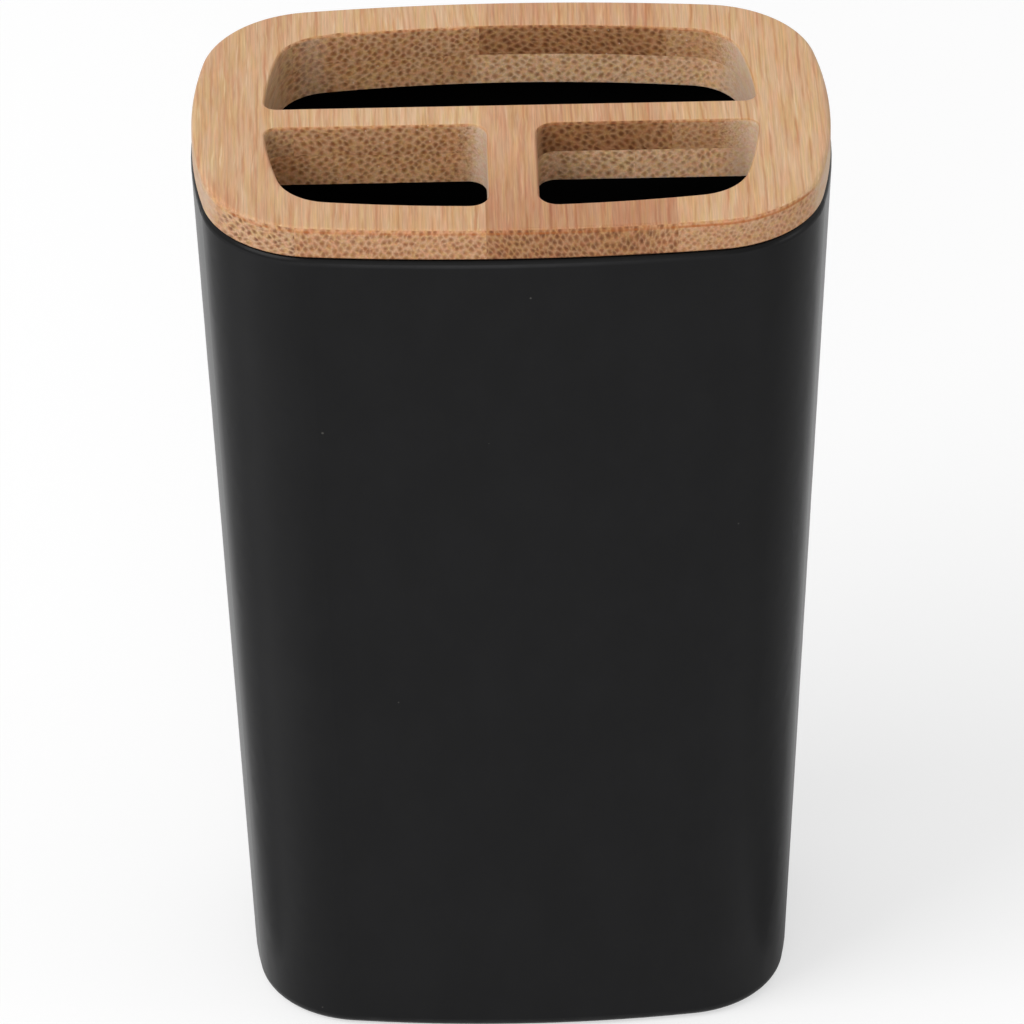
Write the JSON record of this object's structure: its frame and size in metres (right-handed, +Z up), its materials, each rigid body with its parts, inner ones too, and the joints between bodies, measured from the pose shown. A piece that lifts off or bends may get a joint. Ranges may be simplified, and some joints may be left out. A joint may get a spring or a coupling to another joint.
{
  "type": "toothbrush holder",
  "caption": "Tapered rounded-oblong cup with a lift-off laminated bamboo lid that has one long and two short slots for brushes and paste.",
  "frame": {"origin": "middle of the cup's base, on the surface it stands on", "axes": "+Z up, +X along the width, front with the two short slots towards -Y"},
  "size_m": [0.0764, 0.0518, 0.12],
  "materials": {
    "moulded_plastic": "fine matte charcoal black",
    "bamboo_light": "oiled, light tan",
    "bamboo_mid": "oiled, tan",
    "bamboo_dark": "oiled, darker tan"
  },
  "bodies": {
    "cup": {"cup": "moulded_plastic"},
    "lid": {"lid_upper_strip_1": "bamboo_light", "lid_upper_strip_2": "bamboo_mid", "lid_upper_strip_3": "bamboo_dark", "lid_upper_strip_4": "bamboo_light", "lid_lower_strip_1": "bamboo_mid", "lid_lower_strip_2": "bamboo_mid", "lid_lower_strip_3": "bamboo_light", "lid_lower_strip_4": "bamboo_light"}
  },
  "joints": [
    {"name": "lid_lift", "type": "slide", "parent": "cup", "child": "lid", "axis": [0, 0, 1], "range_m": [0, 0.03]}
  ]
}
